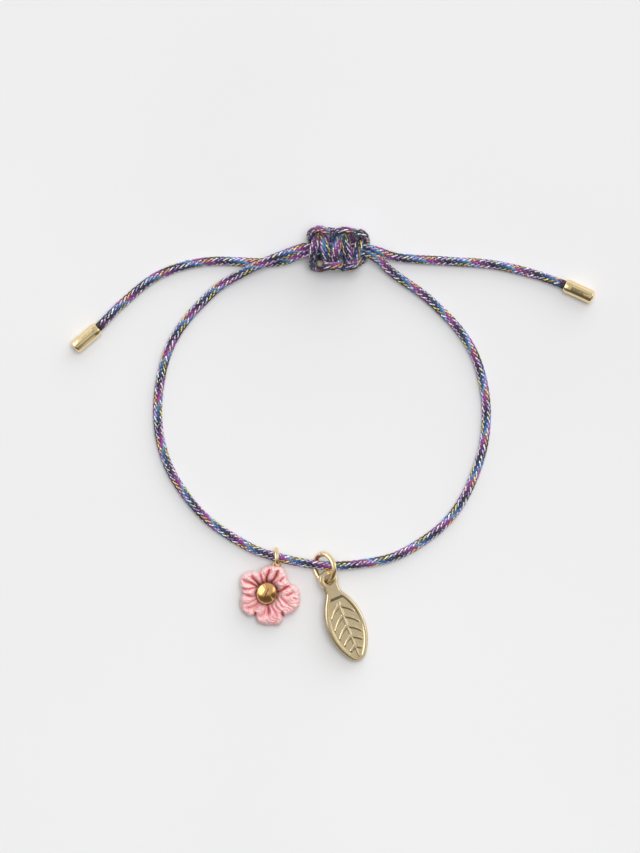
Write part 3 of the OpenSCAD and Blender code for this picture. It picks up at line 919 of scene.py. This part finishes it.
def melted_material():
    """Melted yarn: glassy grey-olive with flecks, and a scorched rim where the dye says."""
    made, s = material("melted_yarn", Roughness=0.3, Coat_Weight=0.3)
    flecks = s.noise(1500, 4)
    melt = s.ramp(flecks, (0.3, light(60, 56, 58)), (0.5, light(104, 98, 84)), (0.72, light(146, 142, 116)))
    varying(s, Base_Color=s.mix(s.dye("Fac"), melt, light(44, 36, 50)), Normal=s.bump(flecks, 0.0001, 0.7))
    return made


def floor():
    """A pale, almost even floor."""
    reach = 1.5
    square = [(-reach, -reach, 0), (reach, -reach, 0), (reach, reach, 0), (-reach, reach, 0)]
    mesh = bpy.data.meshes.new("floor")
    mesh.from_pydata(square, [], [(0, 1, 2, 3)])
    made, s = material("floor", Roughness=0.9, Specular_IOR_Level=0.1)
    varying(s, Base_Color=s.ramp(s.noise(8, 2), (0.3, light(227, 227, 228)), (0.7, light(231, 231, 231))))
    mesh.materials.append(made)
    laid = bpy.data.objects.new("floor", mesh)
    bpy.context.collection.objects.link(laid)


def daylight():
    """Soft light from nearly overhead, which polished metal doesn't mirror."""
    lamp = bpy.data.lights.new("soft_daylight", "SUN")
    lamp.angle = DAYLIGHT_BREADTH
    lamp.energy = DAYLIGHT_STRENGTH
    holder = bpy.data.objects.new("soft_daylight", lamp)
    holder.location = DAYLIGHT_FROM
    holder.rotation_mode = "QUATERNION"
    holder.rotation_quaternion = (-holder.location).to_track_quat("-Z", "Y")
    holder.visible_glossy = False
    bpy.context.collection.objects.link(holder)


def greys(*stops):
    """A ramp's stops in plain greys, from pairs of place and tone."""
    return [(place, (tone, tone, tone)) for place, tone in stops]


def studio():
    """The world round the bracelet, told apart by the kind of ray. Mirrored rays see walls that are
    brighter near the floor, a window at the upper left, a doorway at the right and a dark corner towards
    the viewer, which multiply one another, and then each cap's own bands. Diffuse rays see a ceiling
    that is bright behind. The camera sees one pale tone."""
    world = bpy.data.worlds.new("studio")
    world.use_nodes = True
    bpy.context.scene.world = world
    s = Shader(world.node_tree)
    way = s.node("ShaderNodeTexCoord", {}, output="Generated")

    def toward(*direction):
        """How nearly a way points in a direction, from -1 to 1."""
        direction = tuple(unit(np.array(direction)))
        return s.node("ShaderNodeVectorMath", {"operation": "DOT_PRODUCT"}, way, direction, output="Value")

    mirrored = s.ramp(toward(0, 0, 1.0), (0.0, (1.6, 1.56, 1.5)), (0.15, (0.86, 0.85, 0.84)),
                      *greys((0.35, 0.69), (0.6, 0.62), (0.9, 0.58)))
    rear = toward(0.3, 0.9, 0.1)
    window = s.ramp(toward(-0.74, 0.25, 0.62) + rear * rear * 0.12, *greys((0.86, 1), (0.92, 3.6)))
    doorway = s.ramp(toward(0.92, 0.12, 0.37), *greys((0.9, 1), (0.96, 2.6)))
    ragged = s.noise(9, 3, vector=way) * 0.12 - 0.06
    dark_corner = s.ramp(toward(0.173, -0.822, -0.543) * 0.5 + ragged + 0.5,
                         (0.42, (1, 1, 1)), (0.48, (0.34, 0.32, 0.29)),
                         (0.6, (0.2, 0.18, 0.15)), (0.8, (0.2, 0.18, 0.16)))
    for part in (window, doorway, dark_corner):
        mirrored = s.mix(1.0, mirrored, part, "MULTIPLY")
    for (along_x, along_y), thinness, tones in BARREL_BANDS:
        off = toward(along_x, along_y, 0)
        across = toward(along_y, -along_x, 0)
        mirrored = s.mix((2 - off * off * thinness).clamped(), mirrored,
                         s.ramp(across * 0.5 + 0.5, *greys(*tones)))
    ceiling = s.ramp(toward(0.4, 0.8, 0.3) * 0.5 + 0.5,
                     *greys((0.3, 0.04), (0.5, 0.3), (0.7, 0.33), (0.85, 0.64), (1.0, 2.6)))
    glossy = s.node("ShaderNodeLightPath", {}, output="Is Glossy Ray")
    seen = s.node("ShaderNodeLightPath", {}, output="Is Camera Ray")
    colour = s.mix(seen, s.mix(glossy, ceiling, mirrored), light(236, 236, 237))
    s.give(world.node_tree.nodes["Background"].inputs["Color"], colour)


def camera():
    """Straight above the middle of the photograph's frame, far off, with the frame's height in view."""
    data = bpy.data.cameras.new("camera")
    data.sensor_width = 36
    data.lens = data.sensor_width * CAMERA_HEIGHT / VIEW_HEIGHT
    data.clip_start = 0.01
    data.clip_end = 10
    holder = bpy.data.objects.new("camera", data)
    holder.location = (VIEW_MIDDLE[0] * MM, VIEW_MIDDLE[1] * MM, CAMERA_HEIGHT * MM)
    bpy.context.collection.objects.link(holder)
    bpy.context.scene.camera = holder


DULL = dull_yarn()
METALLIC = metallic_yarn()
CORE = core_material()
MELTED = melted_material()
GOLD = gold("polished_gold", (0.93, 0.77, 0.47), 0.11)
# Its cut tone is the painted shade on the bead's wall.
GOLD_BEAD = gold("bead_gold", (0.95, 0.57, 0.25), 0.07, cut=(0.38, 0.2, 0.12))
PALE_GOLD = gold("pale_gold", (0.77, 0.66, 0.45), 0.17)
PETAL = petal_material()

bpy.context.scene.view_settings.view_transform = "Standard"
camera()
floor()
daylight()
studio()
main_cord([cap(name, mouth, turn) for name, (mouth, turn) in CAPS.items()])
knot_cord()
wire_ring("flower_jump_ring", FLOWER_RING_AT, FLOWER_RING_D, FLOWER_RING_WIRE, "flower_ring",
          y=90, z=FLOWER_RING_LEAN)
tag_ring_lift = (TAG_RING_D - TAG_RING_WIRE) / 2 * np.sin(np.radians(TAG_RING_TILT)) + TAG_RING_WIRE / 2
wire_ring("tag_jump_ring", (*TAG_RING_AT, tag_ring_lift), TAG_RING_D, TAG_RING_WIRE, "tag_ring",
          y=-TAG_RING_TILT, z=TAG_RING_LEAN)
petals()
bead()
flower_mount()
tag_body()
tag_eye()
